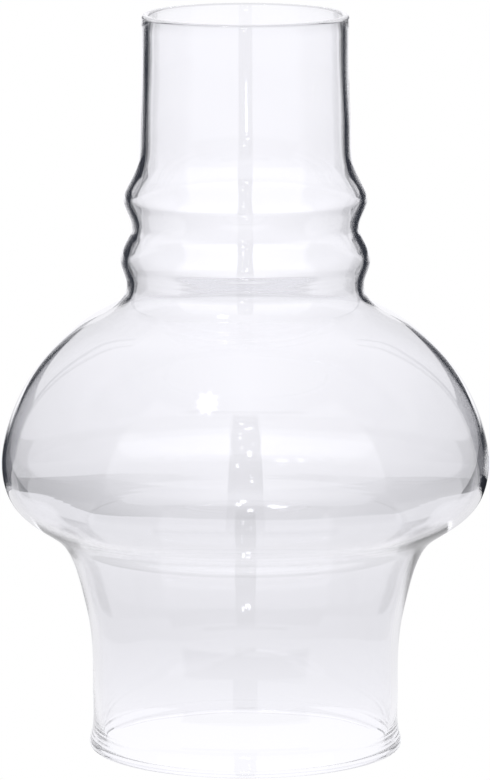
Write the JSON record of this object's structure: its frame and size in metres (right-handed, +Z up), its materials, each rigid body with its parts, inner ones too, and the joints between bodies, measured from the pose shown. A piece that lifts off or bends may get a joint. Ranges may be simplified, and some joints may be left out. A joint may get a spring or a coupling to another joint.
{
  "type": "oil lamp chimney",
  "caption": "Clear blown-glass chimney for an oil lamp: straight neck, ringed waist, wide squat bulb and flared skirt with a beaded base rim, open at both ends.",
  "frame": {"origin": "centre of the base rim, on the surface the chimney stands on", "axes": "+Z up the chimney's axis of revolution, from the base rim to the top rim; X and Y are level"},
  "size_m": [0.1172, 0.1172, 0.178],
  "materials": {
    "clear_glass": "clear, smooth, fire-polished"
  },
  "bodies": {
    "root": {"glass_chimney": "clear_glass"}
  },
  "joints": []
}
